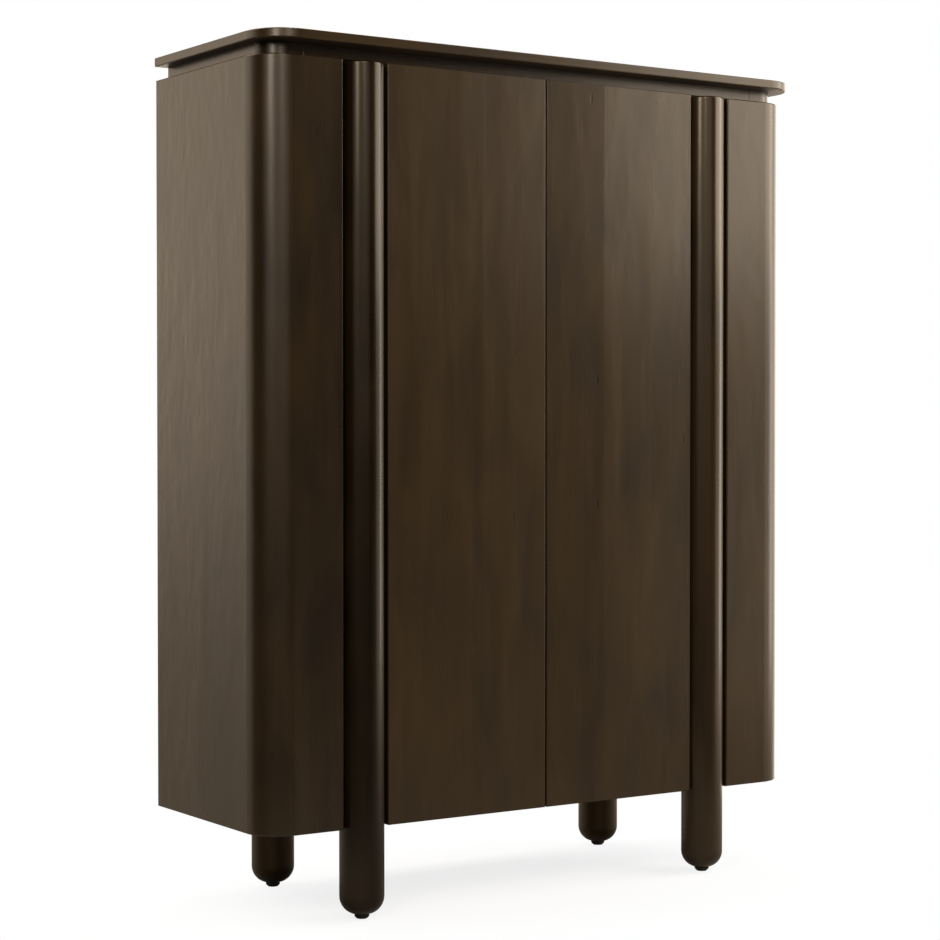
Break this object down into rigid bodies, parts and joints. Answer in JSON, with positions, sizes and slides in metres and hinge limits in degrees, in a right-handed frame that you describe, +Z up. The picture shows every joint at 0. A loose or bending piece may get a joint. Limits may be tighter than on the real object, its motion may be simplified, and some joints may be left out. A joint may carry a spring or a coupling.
{
  "type": "tall cabinet",
  "caption": "Tall free-standing cabinet in dark stained wood: rounded front corners, flush hinged doors set between full-height round posts that run down as legs, thin top on a recessed neck.",
  "frame": {"origin": "on the floor under the middle of the cabinet's box", "axes": "+Z up, +X to the right as seen from the front, +Y to the back; the doors face -Y"},
  "size_m": [1.084, 0.396, 1.4],
  "materials": {
    "stained_wood": "dark brown stain under satin lacquer",
    "inner_wood": "the same stain, only sealed",
    "hinge_steel": "nickel plated",
    "zinc_screw": "zinc plated",
    "brass_insert": "plain turned",
    "black_foot": "moulded, matt",
    "latch_plastic": "moulded, matt"
  },
  "bodies": {
    "carcase": {"top_panel": "stained_wood", "neck_front_rail": "stained_wood", "neck_back_rail": "stained_wood", "neck_side_rail_left": "stained_wood", "neck_side_rail_right": "stained_wood", "neck_corner_left": "stained_wood", "neck_corner_right": "stained_wood", "side_panel_left": "stained_wood", "side_panel_right": "stained_wood", "corner_stile_left": "stained_wood", "corner_stile_right": "stained_wood", "front_post_left": "stained_wood", "front_post_right": "stained_wood", "rear_leg_left": "stained_wood", "rear_leg_right": "stained_wood", "deck_panel": "inner_wood", "bottom_panel": "inner_wood", "back_panel": "inner_wood", "lower_shelf": "inner_wood", "middle_shelf": "inner_wood", "upper_shelf": "inner_wood", "stile_cleat_left": "inner_wood", "stile_cleat_right": "inner_wood", "post_rail_left": "inner_wood", "post_rail_right": "inner_wood", "hinge_board_left": "inner_wood", "hinge_board_right": "inner_wood", "hinge_arms_left": "hinge_steel", "hinge_arms_right": "hinge_steel", "hinge_plates_left": "hinge_steel", "hinge_plates_right": "hinge_steel", "shelf_pins": "hinge_steel", "post_screws": "zinc_screw", "leg_bolts": "zinc_screw", "leveller_inserts": "brass_insert", "latch_housing_left": "latch_plastic", "latch_housing_right": "latch_plastic"},
    "left_door": {"door_left": "stained_wood", "hinge_cups_left": "hinge_steel", "hinge_pins_left": "hinge_steel", "strike_plate_left": "hinge_steel"},
    "right_door": {"door_right": "stained_wood", "hinge_cups_right": "hinge_steel", "hinge_pins_right": "hinge_steel", "strike_plate_right": "hinge_steel"},
    "left_plunger": {"latch_plunger_left": "latch_plastic"},
    "right_plunger": {"latch_plunger_right": "latch_plastic"},
    "front_left_leveller": {"leveller_front_left": "black_foot"},
    "front_right_leveller": {"leveller_front_right": "black_foot"},
    "rear_left_leveller": {"leveller_rear_left": "black_foot"},
    "rear_right_leveller": {"leveller_rear_right": "black_foot"}
  },
  "joints": [
    {"name": "left_door_hinge", "type": "hinge", "parent": "carcase", "child": "left_door", "pos_m": [-0.28825, -0.163, 0.7555], "axis": [0, 0, -1], "range_deg": [0, 95]},
    {"name": "right_door_hinge", "type": "hinge", "parent": "carcase", "child": "right_door", "pos_m": [0.28825, -0.163, 0.7555], "axis": [0, 0, 1], "range_deg": [0, 95]},
    {"name": "left_latch_push", "type": "slide", "parent": "carcase", "child": "left_plunger", "axis": [0, 1, 0], "range_m": [0, 0.003], "stiffness_N_per_m": 300, "springref_m": -0.005},
    {"name": "right_latch_push", "type": "slide", "parent": "carcase", "child": "right_plunger", "axis": [0, 1, 0], "range_m": [0, 0.003], "stiffness_N_per_m": 300, "springref_m": -0.005},
    {"name": "front_left_leveller_screw", "type": "slide", "parent": "carcase", "child": "front_left_leveller", "axis": [0, 0, -1], "range_m": [0, 0.012]},
    {"name": "front_right_leveller_screw", "type": "slide", "parent": "carcase", "child": "front_right_leveller", "axis": [0, 0, -1], "range_m": [0, 0.012]},
    {"name": "rear_left_leveller_screw", "type": "slide", "parent": "carcase", "child": "rear_left_leveller", "axis": [0, 0, -1], "range_m": [0, 0.012]},
    {"name": "rear_right_leveller_screw", "type": "slide", "parent": "carcase", "child": "rear_right_leveller", "axis": [0, 0, -1], "range_m": [0, 0.012]}
  ]
}
